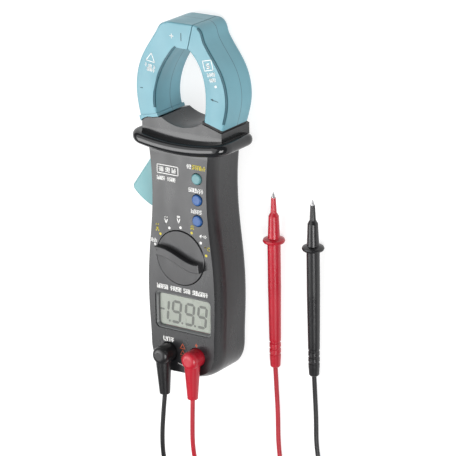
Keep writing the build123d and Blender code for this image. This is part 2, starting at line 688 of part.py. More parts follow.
def battery_contacts():
    """Bridge plate at one end of the battery bay and two terminals at the other."""
    low = BATTERY_LOW - 0.6
    high = BATTERY_LOW + BATTERY_LENGTH
    bridge = block(-10, 10, low - 0.4, low, BATTERY_Z - 4, BATTERY_Z + 4)
    ends = [bridge]
    for side in (-1, 1):
        x = side * BATTERY_X
        ends.append(block(x - 4, x + 4, high + 1.3, high + 1.7, BATTERY_Z - 4, BATTERY_Z + 4))
    return Compound(children=ends)


def battery_springs():
    """Conical contact springs, as stacks of shrinking rings, at each cell's flat end."""
    springs = []
    for side in (-1, 1):
        end_y = BATTERY_LOW + 0.4 if side > 0 else BATTERY_LOW + BATTERY_LENGTH - 0.4
        for turn in range(2):
            y = end_y - side * (0.25 + 0.45 * turn)
            ring = Rot(90, 0, 0) * Torus(2.4 + 0.7 * turn, 0.2)
            springs.append(Pos(side * BATTERY_X, y, BATTERY_Z) * ring)
    return Compound(children=springs)


def buzzer():
    """Round piezo buzzer on the back of the board."""
    case = post(11.5, -48, 4.6, BOARD_BACK - 4.2, BOARD_BACK)
    return case - post(11.5, -48, 0.8, BOARD_BACK - 5, BOARD_BACK - 2)


def jack_sleeves():
    """Two brass sockets for 4 mm plugs."""
    sleeves = []
    for x in (-JACK_X, JACK_X):
        sleeve = tube(x, JACK_Y, 2.7, PLUG_PIN_RADIUS + SHAFT_CLEARANCE, SLEEVE_BOTTOM, BOARD_FRONT + 1)
        sleeves.append(sleeve + post(x, JACK_Y, 2.7, SLEEVE_BOTTOM - 0.8, SLEEVE_BOTTOM))
    return Compound(children=sleeves)


def jack_collars():
    """Insulating collars that hold the sockets in the face."""
    collars = []
    for x in (-JACK_X, JACK_X):
        wall = tube(x, JACK_Y, JACK_MOUTH + 0.9, JACK_MOUTH, BOARD_FRONT + 1, CASE_DEPTH - FRONT_WALL)
        floor = tube(x, JACK_Y, JACK_MOUTH + 0.9, PLUG_PIN_RADIUS + 0.5, BOARD_FRONT, BOARD_FRONT + 1)
        collars.append(wall + floor - post(x, JACK_Y, 2.72, 0, BOARD_FRONT + 1.01))
    return Compound(children=collars)


def jaw_pins():
    """Steel pins on which the two jaw roots sit."""
    pins = [post(side * -PIVOT_X, PIVOT_Y, PIVOT_RADIUS, PIN_BOTTOM, PIN_TOP) for side in (-1, 1)]
    return Compound(children=pins)


def jaw_spring():
    """Return spring of the trigger: coils round the pin, one leg on the case and one on the arm."""
    rings = []
    for turn in range(3):
        rings.append(Pos(PIVOT_X, PIVOT_Y, LEVER_BACK - 0.5 - 0.75 * turn) * Torus(2.2, 0.3))
    return Compound(children=rings)


# ---------------------------------------------------------------- test leads
def plug_place(colour):
    """Frame of a plug's tail: its origin over the jack, its Z along the tail."""
    x = JACK_X if colour == "red" else -JACK_X
    angle = math.radians(PLUG_ANGLES[colour])
    along = (-math.sin(angle), -math.cos(angle), 0)
    return Plane(origin=(x, JACK_Y, PLUG_AXIS_Z[colour]), z_dir=along)


def plug_body(colour):
    """Shrouded right-angle plug: hollow skirt, rounded head and tapered tail."""
    place = plug_place(colour)
    x, axis_z = place.origin.X, place.origin.Z
    head_top = axis_z + PLUG_HEAD_ABOVE_AXIS
    head = post(x, JACK_Y, PLUG_HEAD_RADIUS, PLUG_SKIRT_BOTTOM, head_top)
    head = fillet(edges_at(head, head_top), 2.8)
    cone = Cone(PLUG_HEAD_RADIUS - 0.5, PLUG_END_RADIUS, PLUG_REACH)
    tail = place * Pos(0, 0, PLUG_REACH / 2) * cone
    end_edges = sorted(tail.edges(), key=lambda e: e.center().Y)[:1]
    tail = fillet(end_edges, 0.5)
    body = head + (tail - block(-40, 40, -120, -60, 0, CASE_DEPTH + 0.6))
    body -= post(x, JACK_Y, PLUG_HEAD_RADIUS - 1.0, 0, CASE_DEPTH)
    return body - post(x, JACK_Y, PLUG_PIN_RADIUS, 0, axis_z - 1)


def plug_pin(colour):
    """Brass banana pin with a rounded end."""
    place = plug_place(colour)
    low = SLEEVE_BOTTOM + 1.0
    pin = post(place.origin.X, JACK_Y, PLUG_PIN_RADIUS, low, place.origin.Z - 1)
    return fillet(edges_at(pin, low), 0.8)


def probe_place(colour):
    """Frame of a probe lying on the table: its origin at the tip, its Z towards the tail."""
    rise = (PROBE_GUARD_RADIUS - PROBE_TAIL_RADIUS) / (PROBE_GUARD_Y - PROBE_TAIL_Y)
    tip_z = PROBE_GUARD_RADIUS + (PROBE_TIP_Y - PROBE_GUARD_Y) * rise
    tip = Vector(PROBE_AT_TIP_X[colour], PROBE_TIP_Y, tip_z)
    tail = Vector(PROBE_AT_TAIL_X[colour], PROBE_TAIL_Y, PROBE_TAIL_RADIUS)
    return Plane(origin=tip, z_dir=tail - tip), (tail - tip).length


def turned(profile, plane):
    """Solid of revolution from (radius, distance) points, set in a frame."""
    outline = make_face(Plane.XZ * Polyline(*profile, close=True))
    return plane * revolve(outline, Axis.Z)


def probe_handle(colour):
    """Probe body: slim neck, finger guard, tapered grip and three grooves near the tail."""
    plane, length = probe_place(colour)
    guard_at = PROBE_TIP_Y - PROBE_GUARD_Y
    profile = [(PROBE_NEEDLE, 3.0), (1.25, 3.0), (1.65, 11.2), (2.75, 13.2), (3.25, guard_at - 1.6),
               (4.6, guard_at - 1.2), (5.6, guard_at - 0.8), (PROBE_GUARD_RADIUS, guard_at),
               (5.6, guard_at + 0.8), (4.6, guard_at + 1.2), (PROBE_BODY_RADIUS, guard_at + 1.7),
               (PROBE_BODY_RADIUS, guard_at + 26), (3.15, PROBE_GROOVE - 1)]
    for ring in range(3):
        at = PROBE_GROOVE + ring * 3.4
        profile += [(3.1, at), (2.7, at + 0.3), (2.7, at + 1.1), (3.05, at + 1.4)]
    profile += [(3.0, length - 5.0), (PROBE_TAIL_RADIUS, length - 0.6), (2.3, length), (0, length),
                (0, PROBE_NEEDLE_END), (PROBE_NEEDLE, PROBE_NEEDLE_END)]
    return turned(profile, plane)


def probe_needle(colour):
    """Steel needle of a probe, sharp in front and fixed inside the handle."""
    plane, length = probe_place(colour)
    profile = [(0, 0), (0.12, 0.1), (PROBE_NEEDLE, 2.8), (PROBE_NEEDLE, PROBE_NEEDLE_END),
               (0, PROBE_NEEDLE_END)]
    return turned(profile, plane)


def corner_radii(route):
    """Largest arc at each corner of a route: 0.45 of its shorter run over tan of half the turn."""
    points = [Vector(*point) for point in route]
    radii = []
    for before, here, after in zip(points, points[1:], points[2:]):
        turn = (here - before).get_angle(after - here)
        run = min((here - before).length, (after - here).length)
        radii.append(0.45 * run / math.tan(math.radians(turn) / 2))
    return radii


def lead_tube(name, route):
    """Round cord along straight runs joined by tangent arcs."""
    radii = corner_radii(route)
    path = FilletPolyline(*route, radius=radii)
    section = Plane(origin=path @ 0, z_dir=path % 0) * Circle(LEAD_DIAMETER / 2)
    solid = sweep(section, path=path)
    ideal = math.pi * (LEAD_DIAMETER / 2) ** 2 * path.length
    print(name, "length", round(path.length, 1), "radii", [round(r, 1) for r in radii],
          "volume over section times length", round(solid.volume / ideal, 4))
    return solid


def lead_coil(colour):
    """Outer shape of a lead's put-away coil: two flat layers of turns."""
    x, y = COIL_CENTRES[colour]
    low, high = COIL_RADII
    margin = LEAD_DIAMETER / 2 + 0.1
    return tube(x, y, high + margin, low - margin, 0.02, COIL_HEIGHT)


# ---------------------------------------------------------------- all nodes
def build_parts():
    """Every node of the meter and its leads, by name."""
    ball, leaf = detent()
    parts = {
        "front_case": front_case(),
        "rear_case": rear_case(),
        "battery_cover": battery_cover(),
        "case_screws": case_screws(),
        "dial_knob": dial_knob(),
        "dial_rotor": dial_rotor(),
        "dial_wipers": dial_wipers(),
        "detent_ball": ball,
        "detent_spring": leaf,
        "display_frame": screen_frame(),
        "display_window": screen_layer(2.7, 2.0, GLASS_FRONT + 0.4, CASE_DEPTH - SCREEN_RECESS),
        "display_glass": screen_layer(3.0, 2.0, GLASS_BACK, GLASS_FRONT),
        "contact_strips": contact_strips(),
        "main_board": main_board(),
        "board_parts": board_parts(),
        "controller_chip": controller_chip(),
        "key_switches": key_switches(),
        "buzzer": buzzer(),
        "battery_1": battery(-1),
        "battery_2": battery(1),
        "battery_contacts": battery_contacts(),
        "battery_springs": battery_springs(),
        "jack_sleeves": jack_sleeves(),
        "jack_collars": jack_collars(),
        "jaw_pins": jaw_pins(),
        "jaw_spring": jaw_spring(),
        "jaw_lever": jaw_lever(),
        "left_jaw_lip": left_lip() - jaw_face_block(-1) - jaw_lever(),
        "right_jaw_root": right_root(),
        "right_jaw_seal": right_seal(),
    }
    for name, y in BUTTON_YS.items():
        parts["button_" + name] = button_cap(y)
    for name, side in (("left", -1), ("right", 1)):
        front = jaw_shell(side, JAW_PARTING, JAW_FRONT, JAW_FRONT, JAW_EDGE)
        parts[name + "_jaw_front"] = front - bead_groove(side)
        parts[name + "_jaw_rear"] = jaw_shell(side, JAW_BACK, JAW_PARTING, JAW_BACK, JAW_BACK_EDGE)
        parts[name + "_jaw_bead"] = jaw_bead(side)
        parts[name + "_core"] = jaw_core(side)
        parts[name + "_winding"] = jaw_winding(side)
    for colour in ("red", "black"):
        parts[colour + "_plug"] = plug_body(colour)
        parts[colour + "_plug_pin"] = plug_pin(colour)
        parts[colour + "_lead_plug_side"] = lead_tube(colour + " plug side", PLUG_ROUTES[colour])
        parts[colour + "_lead_coil"] = lead_coil(colour)
        parts[colour + "_lead_probe_side"] = lead_tube(colour + " probe side", PROBE_ROUTES[colour])
        parts[colour + "_probe_handle"] = probe_handle(colour)
        parts[colour + "_probe_needle"] = probe_needle(colour)
    return parts


def jaw_face_block(side):
    """Full-depth block of one jaw, used to keep its lip outside its shells."""
    return prism(jaw_face(side, 0), JAW_BACK, JAW_FRONT)


os.makedirs("parts", exist_ok=True)
for node, shape in build_parts().items():
    export_step(shape, f"parts/{node}.step")
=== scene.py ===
"""Looks of the mini clamp meter and its two test leads: materials, printed marks, leads, light."""
import math

import bmesh
import bpy
from mathutils import Matrix, Vector


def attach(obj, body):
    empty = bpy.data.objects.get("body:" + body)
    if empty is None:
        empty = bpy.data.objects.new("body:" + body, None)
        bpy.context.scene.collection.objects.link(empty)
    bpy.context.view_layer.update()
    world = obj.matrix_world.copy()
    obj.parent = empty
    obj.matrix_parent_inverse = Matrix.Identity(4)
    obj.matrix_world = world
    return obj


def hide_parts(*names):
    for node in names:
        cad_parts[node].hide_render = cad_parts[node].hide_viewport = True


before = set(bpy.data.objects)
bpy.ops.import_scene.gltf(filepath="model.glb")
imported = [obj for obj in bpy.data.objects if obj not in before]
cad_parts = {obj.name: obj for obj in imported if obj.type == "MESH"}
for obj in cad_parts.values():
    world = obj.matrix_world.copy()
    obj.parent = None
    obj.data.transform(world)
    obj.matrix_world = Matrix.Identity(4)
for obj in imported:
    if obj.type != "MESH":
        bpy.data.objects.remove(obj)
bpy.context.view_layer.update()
MM = 0.001


# ---------------------------------------------------------------- places, in millimetres
FACE_Z = 29.4
HEAD_Z = 26.0
GLASS_Z = 26.8
DIAL_Y = -29.5
DIAL_OFF_ANGLE = 163.0
DIAL_STEP = 24.8
INK_THICK = 0.06
INK_SUNK = 0.02
LETTER_GAP = 0.30
DIGIT_LEAN = 0.11
SEGMENT_GAP = 0.15
SEGMENT_WIDTH = 1.5

COIL_RADII = (10.5, 18.0)
LEAD_DIAMETER = 2.5
COIL_TURNS = {"red": 6.5, "black": 6.25}
COIL_CENTRES = {"red": (28.0, -192.0), "black": (70.5, -201.0)}
COIL_START = {"red": 180.0, "black": 270.0}
COIL_FLOOR = 1.3
COIL_UPPER = 3.85
POINTS_PER_TURN = 14
TIE_WIDTH = 3.0
TIE_THICK = 0.45
TIE_ROUNDING = 1.2
TIE_FLOOR_GAP = 0.05
TIE_ROOM = {"inside": 1.6, "outside": 1.5, "above": 1.3}
# The share of a coil's length at which it starts to climb, and how much of it the climb takes.
CLIMB_START = 0.44
CLIMB_LENGTH = 0.12

# The leads' routes, the same points as in the CAD.
PLUG_ROUTES = {
    "red": [(8.71, -106.0, 33.6), (8.2, -120, 33.7), (7.8, -134, 33.3), (8.0, -148, 30.2),
            (8.8, -161, 21.2), (9.6, -172, 10.2), (10.1, -183, 2.3), (10.0, -192, 1.3)],
    "black": [(-8.47, -106.0, 34.8), (-10.1, -120, 34.9), (-11.3, -134, 34.6), (-12.6, -148, 31.5),
              (-13.3, -161, 22.5), (-13.4, -172, 11.0), (-12.6, -184, 2.4), (-9.6, -196, 1.3),
              (-3.4, -208.5, 1.3), (7.6, -217.0, 1.3), (22.0, -221.0, 1.3), (38.0, -221.6, 1.3),
              (54.5, -219.6, 1.3), (70.5, -219.0, 1.3)],
}
PROBE_ROUTES = {
    "red": [(46.0, -192, 3.85), (46.3, -179, 3.0), (45.3, -165, 1.6), (43.2, -150, 1.3),
            (41.6, -135, 1.3), (41.7, -119.5, 1.3), (41.2, -104, 1.7), (41.3, -91, 2.75)],
    "black": [(88.5, -201, 3.85), (88.6, -189, 3.1), (86.2, -176.5, 1.7), (80.6, -165.5, 1.3),
              (73.6, -155.5, 1.3), (67.8, -144.5, 1.3), (65.7, -131, 1.3), (65.8, -117, 1.3),
              (65.4, -103.5, 1.6), (65.6, -91, 2.75)],
}


# ---------------------------------------------------------------- material building
# Places and depths here are in metres, as the shader nodes want them.
# CASE_SEAM_Z and JAW_SEAM_Z place a painted shade line along each seam; SEAM_HALF is that line's half
# width.
CASE_SEAM_Z = 0.0102
JAW_SEAM_Z = 0.0125
SEAM_HALF = 0.00016
GUARD_SPAN = (0.0272, 0.0380)
GUARD_BLEND = 0.0008
GRAIN_DEPTH = 0.00002
TOOLING_DEPTH = 0.00001


def new_material(name):
    """A new node material, its node tree and its main shader."""
    material = bpy.data.materials.new(name)
    material.use_nodes = True
    tree = material.node_tree
    shader = tree.nodes["Principled BSDF"]
    return material, tree, shader


def object_noise(tree, scale, detail=3.0, stretch=(1, 1, 1)):
    """Noise in the object's own space; scale is in features per metre."""
    place = tree.nodes.new("ShaderNodeTexCoord")
    mapping = tree.nodes.new("ShaderNodeMapping")
    mapping.inputs["Scale"].default_value = stretch
    noise = tree.nodes.new("ShaderNodeTexNoise")
    noise.inputs["Scale"].default_value = scale
    noise.inputs["Detail"].default_value = detail
    tree.links.new(place.outputs["Object"], mapping.inputs["Vector"])
    tree.links.new(mapping.outputs["Vector"], noise.inputs["Vector"])
    return noise.outputs["Fac"]


def remap(tree, value, low, high, start=0.35, stop=0.65):
    """Stretch a 0 to 1 value to a range."""
    node = tree.nodes.new("ShaderNodeMapRange")
    node.inputs["From Min"].default_value = start
    node.inputs["From Max"].default_value = stop
    node.inputs["To Min"].default_value = low
    node.inputs["To Max"].default_value = high
    tree.links.new(value, node.inputs["Value"])
    return node.outputs["Result"]


def mix_colours(tree, factor, first, second):
    """Mix two colours, each a tuple or a socket, by a socket."""
    node = tree.nodes.new("ShaderNodeMix")
    node.data_type = "RGBA"
    tree.links.new(factor, node.inputs["Factor"])
    for value, socket in ((first, node.inputs[6]), (second, node.inputs[7])):
        if isinstance(value, tuple):
            socket.default_value = (*value, 1)
        else:
            tree.links.new(value, socket)
    return node.outputs[2]


def scaled(colour, factor):
    """A colour made lighter or darker."""
    return tuple(min(1.0, part * factor) for part in colour)


def bump(tree, shader, height, strength, distance):
    """Drive the shader's normal from a height value."""
    node = tree.nodes.new("ShaderNodeBump")
    node.inputs["Strength"].default_value = strength
    node.inputs["Distance"].default_value = distance
    tree.links.new(height, node.inputs["Height"])
    tree.links.new(node.outputs["Normal"], shader.inputs["Normal"])


def band_mask(tree, axis, start, stop, soft):
    """1 where the object's own coordinate lies between two places, in metres."""
    place = tree.nodes.new("ShaderNodeTexCoord")
    split = tree.nodes.new("ShaderNodeSeparateXYZ")
    tree.links.new(place.outputs["Object"], split.inputs["Vector"])
    rise = remap(tree, split.outputs[axis], 0, 1, start - soft, start + soft)
    fall = remap(tree, split.outputs[axis], 1, 0, stop - soft, stop + soft)
    both = tree.nodes.new("ShaderNodeMath")
    both.operation = "MULTIPLY"
    tree.links.new(rise, both.inputs[0])
    tree.links.new(fall, both.inputs[1])
    return both.outputs["Value"]


def with_seam_shade(tree, colour_out, colour, seam_z):
    """Painted shade: darken a hair line round the part where two mouldings meet, standing in for the shadow
    in the gap between them.
    """
    line = band_mask(tree, "Z", seam_z - SEAM_HALF, seam_z + SEAM_HALF, SEAM_HALF / 2)
    return mix_colours(tree, line, colour_out, scaled(colour, 0.25))


def plastic(name, colour, rough=(0.35, 0.5), grain=2500, strength=0.25, variation=0.08,
            seam_z=None):
    """Moulded plastic: fine grain, faint tone drift, rub marks that change the gloss; with a seam place,
    also a painted shade line at the seam.
    """
    material, tree, shader = new_material(name)
    drift = remap(tree, object_noise(tree, 45, 4), 0, 1)
    colour_out = mix_colours(tree, drift, scaled(colour, 1 - variation), scaled(colour, 1 + variation))
    # Painted shade: a dark line along the seam, where the gap between the mouldings would be in shadow.
    if seam_z is not None:
        colour_out = with_seam_shade(tree, colour_out, colour, seam_z)
    tree.links.new(colour_out, shader.inputs["Base Color"])
    rub = object_noise(tree, 130, 6, (1, 0.35, 1))
    tree.links.new(remap(tree, rub, *rough), shader.inputs["Roughness"])
    bump(tree, shader, object_noise(tree, grain, 2), strength, GRAIN_DEPTH)
    return material


def metal(name, colour, rough=(0.18, 0.34), stretch=(1, 1, 1), grain=900):
    """Metal with fine tooling marks and slight tarnish."""
    material, tree, shader = new_material(name)
    tarnish = remap(tree, object_noise(tree, 220, 5), 0, 1)
    tree.links.new(mix_colours(tree, tarnish, scaled(colour, 0.8), colour), shader.inputs["Base Color"])
    shader.inputs["Metallic"].default_value = 1.0
    tree.links.new(remap(tree, object_noise(tree, grain, 3, stretch), *rough), shader.inputs["Roughness"])
    bump(tree, shader, object_noise(tree, grain * 2, 2, stretch), 0.15, TOOLING_DEPTH)
    return material


def case_plastic(name, colour):
    """The case's black plastic: satin mould grain, a glossy finger guard, a painted shade line at the seam,
    worn edges.
    """
    material, tree, shader = new_material(name)
    drift = remap(tree, object_noise(tree, 45, 4), 0, 1)
    base = mix_colours(tree, drift, scaled(colour, 0.88), scaled(colour, 1.12))
    edge = tree.nodes.new("ShaderNodeNewGeometry").outputs["Pointiness"]
    worn = remap(tree, edge, 0, 0.5, 0.55, 0.72)
    base = mix_colours(tree, worn, base, scaled(colour, 2.2))
    # Painted shade: a dark line along the seam between the front and rear case.
    tree.links.new(with_seam_shade(tree, base, colour, CASE_SEAM_Z), shader.inputs["Base Color"])
    satin = remap(tree, object_noise(tree, 130, 6, (1, 0.35, 1)), 0.26, 0.34)
    gloss = remap(tree, object_noise(tree, 90, 5), 0.10, 0.17)
    pick = tree.nodes.new("ShaderNodeMix")
    tree.links.new(band_mask(tree, "Y", *GUARD_SPAN, GUARD_BLEND), pick.inputs["Factor"])
    tree.links.new(satin, pick.inputs[2])
    tree.links.new(gloss, pick.inputs[3])
    tree.links.new(pick.outputs[0], shader.inputs["Roughness"])
    bump(tree, shader, object_noise(tree, 2500, 2), 0.2, GRAIN_DEPTH)
    return material


def ink(name, colour):
    """Printed ink: slightly uneven cover and gloss."""
    material, tree, shader = new_material(name)
    cover = remap(tree, object_noise(tree, 1400, 3), 0, 1)
    tree.links.new(mix_colours(tree, cover, scaled(colour, 0.82), colour), shader.inputs["Base Color"])
    tree.links.new(remap(tree, object_noise(tree, 700, 2), 0.45, 0.65), shader.inputs["Roughness"])
    return material


def clear_window(name):
    """Thin clear pane with faint smudges."""
    material, tree, shader = new_material(name)
    shader.inputs["Base Color"].default_value = (0.95, 0.97, 0.96, 1)
    shader.inputs["Alpha"].default_value = 0.05
    shader.inputs["Specular IOR Level"].default_value = 0.3
    tree.links.new(remap(tree, object_noise(tree, 90, 5), 0.15, 0.30), shader.inputs["Roughness"])
    return material


MATERIALS = {
    "case": case_plastic("case_plastic", (0.011, 0.0115, 0.013)),
    "dial": plastic("dial_plastic", (0.016, 0.0165, 0.018), rough=(0.30, 0.40), grain=3000),
    # The teal gets a painted shade line along the seam between the jaws' front and rear shells.
    "teal": plastic("teal_plastic", (0.135, 0.325, 0.390), rough=(0.34, 0.44), variation=0.05,
                    seam_z=JAW_SEAM_Z),
    "trigger": plastic("trigger_plastic", (0.150, 0.350, 0.375), rough=(0.34, 0.46), variation=0.05),
    # Painted shade: the dark teal of the jaw beads stands in for the shadow along the jaws' rounded edges.
    "dark_teal": plastic("painted_edge_shade_plastic", (0.014, 0.085, 0.115), rough=(0.45, 0.6)),
    # Painted shade: the black of the seal at the right jaw's base stands in for the shadow deep in the gap
    # there.
    "seal": plastic("jaw_gap_shade_black", (0.006, 0.006, 0.007), rough=(0.5, 0.7)),
    "button_teal": plastic("button_teal", (0.110, 0.270, 0.290), rough=(0.35, 0.45)),
    "button_blue": plastic("button_blue", (0.018, 0.085, 0.270), rough=(0.35, 0.45)),
    "white": plastic("white_plastic", (0.72, 0.72, 0.69)),
    "black": plastic("black_plastic", (0.012, 0.012, 0.013), rough=(0.3, 0.45)),
    "red_soft": plastic("red_soft_plastic", (0.430, 0.012, 0.026), rough=(0.25, 0.38), variation=0.06),
    "black_soft": plastic("black_soft_plastic", (0.010, 0.010, 0.011), rough=(0.25, 0.38)),
    "red_cord": plastic("red_cord", (0.380, 0.010, 0.022), rough=(0.38, 0.5), grain=1500),
    "black_cord": plastic("black_cord", (0.010, 0.010, 0.011), rough=(0.38, 0.5), grain=1500),
    "tie": plastic("tie_plastic", (0.010, 0.010, 0.010), rough=(0.4, 0.55), grain=1800),
    "frame": plastic("display_frame", (0.10, 0.105, 0.105), rough=(0.3, 0.42)),
    "glass_back": plastic("display_back", (0.215, 0.240, 0.195), rough=(0.25, 0.35), grain=6000,
                          strength=0.1),
    "window": clear_window("display_window"),
    "steel": metal("steel", (0.56, 0.56, 0.57), grain=1200),
    "brass": metal("brass", (0.72, 0.52, 0.22)),
    "copper": metal("copper", (0.70, 0.30, 0.15), stretch=(1, 1, 12)),
    "iron": metal("core_iron", (0.25, 0.25, 0.26), rough=(0.4, 0.6), stretch=(0.2, 0.2, 8)),
    "board": plastic("board_green", (0.010, 0.130, 0.040), rough=(0.25, 0.5), grain=700, variation=0.3),
    "cell": plastic("cell_jacket", (0.05, 0.07, 0.12), rough=(0.2, 0.3)),
    "strip": plastic("strip_rubber", (0.30, 0.06, 0.07), rough=(0.6, 0.8)),
    "white_ink": ink("white_ink", (0.86, 0.86, 0.84)),
    "yellow_ink": ink("yellow_ink", (0.60, 0.50, 0.03)),
    "orange_ink": ink("orange_ink", (0.60, 0.10, 0.03)),
    "dark_ink": ink("dark_ink", (0.010, 0.040, 0.055)),
    "segment_ink": ink("segment_ink", (0.050, 0.058, 0.042)),
}

NODE_LOOKS = {
    "case": ("front_case", "rear_case", "battery_cover"),
    "dial": ("dial_knob",),
    "teal": ("left_jaw_front", "left_jaw_rear", "left_jaw_lip", "right_jaw_front",
             "right_jaw_rear", "right_jaw_root"),
    "trigger": ("jaw_lever",),
    # Jaw beads in dark teal: painted shade along the jaws' rounded edges.
    "dark_teal": ("left_jaw_bead", "right_jaw_bead"),
    # The seal's black is painted shade for the gap at the right jaw's base.
    "seal": ("right_jaw_seal",),
    "button_teal": ("button_light",),
    "button_blue": ("button_select", "button_hold"),
    "white": ("dial_rotor",),
    "black": ("board_parts", "controller_chip", "key_switches", "buzzer", "jack_collars"),
    "red_soft": ("red_plug", "red_probe_handle"),
    "black_soft": ("black_plug", "black_probe_handle"),
    "frame": ("display_frame",),
    "glass_back": ("display_glass",),
    "window": ("display_window",),
    "steel": ("case_screws", "detent_ball", "detent_spring", "battery_contacts", "battery_springs",
              "jaw_pins", "jaw_spring", "red_probe_needle", "black_probe_needle"),
    "brass": ("dial_wipers", "jack_sleeves", "red_plug_pin", "black_plug_pin"),
    "copper": ("left_winding", "right_winding"),
    "iron": ("left_core", "right_core"),
    "board": ("main_board",),
    "cell": ("battery_1", "battery_2"),
    "strip": ("contact_strips",),
}


def dress_nodes():
    """Give every CAD node its finished material."""
    for look, nodes in NODE_LOOKS.items():
        for node in nodes:
            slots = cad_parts[node].material_slots
            for material_slot in slots:
                material_slot.material = MATERIALS[look]


# ---------------------------------------------------------------- printed marks
# Strokes of each sign on a cell one letter high. Numbered signs are made-up letter shapes.
SIGNS = {
    "A": [[(0, 0), (0.35, 1), (0.7, 0)], [(0.14, 0.4), (0.56, 0.4)]],
    "V": [[(0, 1), (0.35, 0), (0.7, 1)]],
    "C": [[(0.65, 0.9), (0.35, 1), (0.05, 0.75), (0.05, 0.25), (0.35, 0), (0.65, 0.1)]],
    "ohm": [[(0, 0), (0.25, 0), (0.05, 0.5), (0.2, 0.95), (0.5, 0.95), (0.65, 0.5), (0.45, 0), (0.7, 0)]],
    "degree": [[(0.1, 0.7), (0.3, 0.7), (0.3, 0.95), (0.1, 0.95), (0.1, 0.7)]],
    "wave": [[(0, 0.4), (0.18, 0.65), (0.36, 0.5), (0.54, 0.35), (0.72, 0.6)]],
    "equals": [[(0, 0.65), (0.7, 0.65)], [(0, 0.3), (0.7, 0.3)]],
    "plus": [[(0, 0.5), (0.9, 0.5)], [(0.45, 0.05), (0.45, 0.95)]],
    "diode": [[(0, 0.5), (1.2, 0.5)], [(0.35, 0.15), (0.35, 0.85), (0.85, 0.5), (0.35, 0.15)],
              [(0.9, 0.15), (0.9, 0.85)]],
    "sound": [[(0, 0.3), (0.15, 0.7)], [(0.3, 0.1), (0.45, 0.9)]],
    "ring": [[(0, 0.1), (0.6, 0.1), (0.6, 0.9), (0, 0.9), (0, 0.1)]],
    "0": [[(0, 0), (0, 1), (0.6, 1), (0.6, 0)]],
    "1": [[(0.3, 0), (0.3, 1)], [(0, 0.55), (0.6, 0.55)]],
    "2": [[(0.6, 0.95), (0, 0.95), (0, 0.5), (0.6, 0.5), (0.6, 0.05), (0, 0.05)]],
    "3": [[(0, 0), (0, 1)], [(0.55, 0), (0.55, 0.65), (0, 0.65)]],
    "4": [[(0, 0.95), (0.6, 0.95)], [(0.3, 0), (0.3, 0.95)], [(0, 0.4), (0.6, 0.4)]],
    "5": [[(0, 1), (0, 0), (0.6, 0)], [(0.6, 1), (0.6, 0.4)]],
    "gap": [],
}
TRIANGLE = [(-0.5, 0), (0.5, 0), (0, 0.9), (-0.5, 0)]
SQUARE = [(0, 0), (1, 0), (1, 1), (0, 1), (0, 0)]
TITLE = "30420 14525 240 2532041"
# Signs at the dial's positions and the middle of each label.
DIAL_LABELS = ((["ring", "3", "3"], -17.2, -22.4), (["A", "wave"], -14.3, -14.5),
               (["V", "wave"], -8.6, -9.6), (["V", "equals"], -0.6, -8.2), (["ohm"], 7.8, -11.2),
               (["sound", "diode"], 14.2, -15.2), (["degree", "C"], 17.0, -21.6))
DIAL_DOTS = 16.9
YELLOW_STEPS = (1, 4, 6)
UPRIGHT_STEPS = (1, 2, 3)


class Print:
    """Flat strokes of one colour, collected into one thin piece of mesh."""

    def __init__(self, name, body, look, slot, height):
        self.name, self.body, self.look, self.slot = name, body, look, slot
        self.low, self.high = height - INK_SUNK, height + INK_THICK
        self.mesh = bmesh.new()

    def plate(self, outline):
        """A thin plate with the given corners, in millimetres."""
        low = [self.mesh.verts.new((x * MM, y * MM, self.low * MM)) for x, y in outline]
        high = [self.mesh.verts.new((x * MM, y * MM, self.high * MM)) for x, y in outline]
        self.mesh.faces.new(high)
        self.mesh.faces.new(low[::-1])
        for index in range(len(outline)):
            after = (index + 1) % len(outline)
            self.mesh.faces.new((low[index], low[after], high[after], high[index]))

    def stroke(self, points, width):
        """A pen line along the points, each run a little longer than its ends."""
        for first, second in zip(points, points[1:]):
            start, end = Vector(first), Vector(second)
            along = (end - start).normalized() * width / 2
            across = Vector((-along.y, along.x))
            start, end = start - along * 0.8, end + along * 0.8
            self.plate([start - across, end - across, end + across, start + across])

    def dot(self, x, y, radius):
        """A round dot."""
        turns = [math.tau * step / 12 for step in range(12)]
        self.plate([(x + radius * math.cos(turn), y + radius * math.sin(turn)) for turn in turns])

    def shape(self, strokes, x, y, width, height, pen, turn=0.0):
        """Strokes scaled to a size, turned about their origin and placed."""
        cos, sin = math.cos(math.radians(turn)), math.sin(math.radians(turn))
        for line in strokes:
            sized = [(px * width, py * height) for px, py in line]
            self.stroke([(x + px * cos - py * sin, y + px * sin + py * cos) for px, py in sized], pen)

    def write(self, signs, x, y, height, width, pen=None, turn=0.0):
        """A row of signs from (x, y), spread over the given width."""
        pen = pen or height * 0.24
        step = width / (len(signs) - LETTER_GAP)
        cos, sin = math.cos(math.radians(turn)), math.sin(math.radians(turn))
        for index, sign in enumerate(signs):
            strokes = SIGNS["gap" if sign == " " else sign]
            at_x, at_y = x + index * step * cos, y + index * step * sin
            self.shape(strokes, at_x, at_y, step * 1.05, height, pen, turn)

    def finish(self):
        """Turn the collected strokes into a piece that rides on its body."""
        mesh = bpy.data.meshes.new(self.name)
        bmesh.ops.recalc_face_normals(self.mesh, faces=self.mesh.faces)
        self.mesh.to_mesh(mesh)
        self.mesh.free()
        mesh.materials.append(MATERIALS[self.look])
        piece = bpy.data.objects.new(self.name, mesh)
        bpy.context.collection.objects.link(piece)
        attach(piece, self.body)


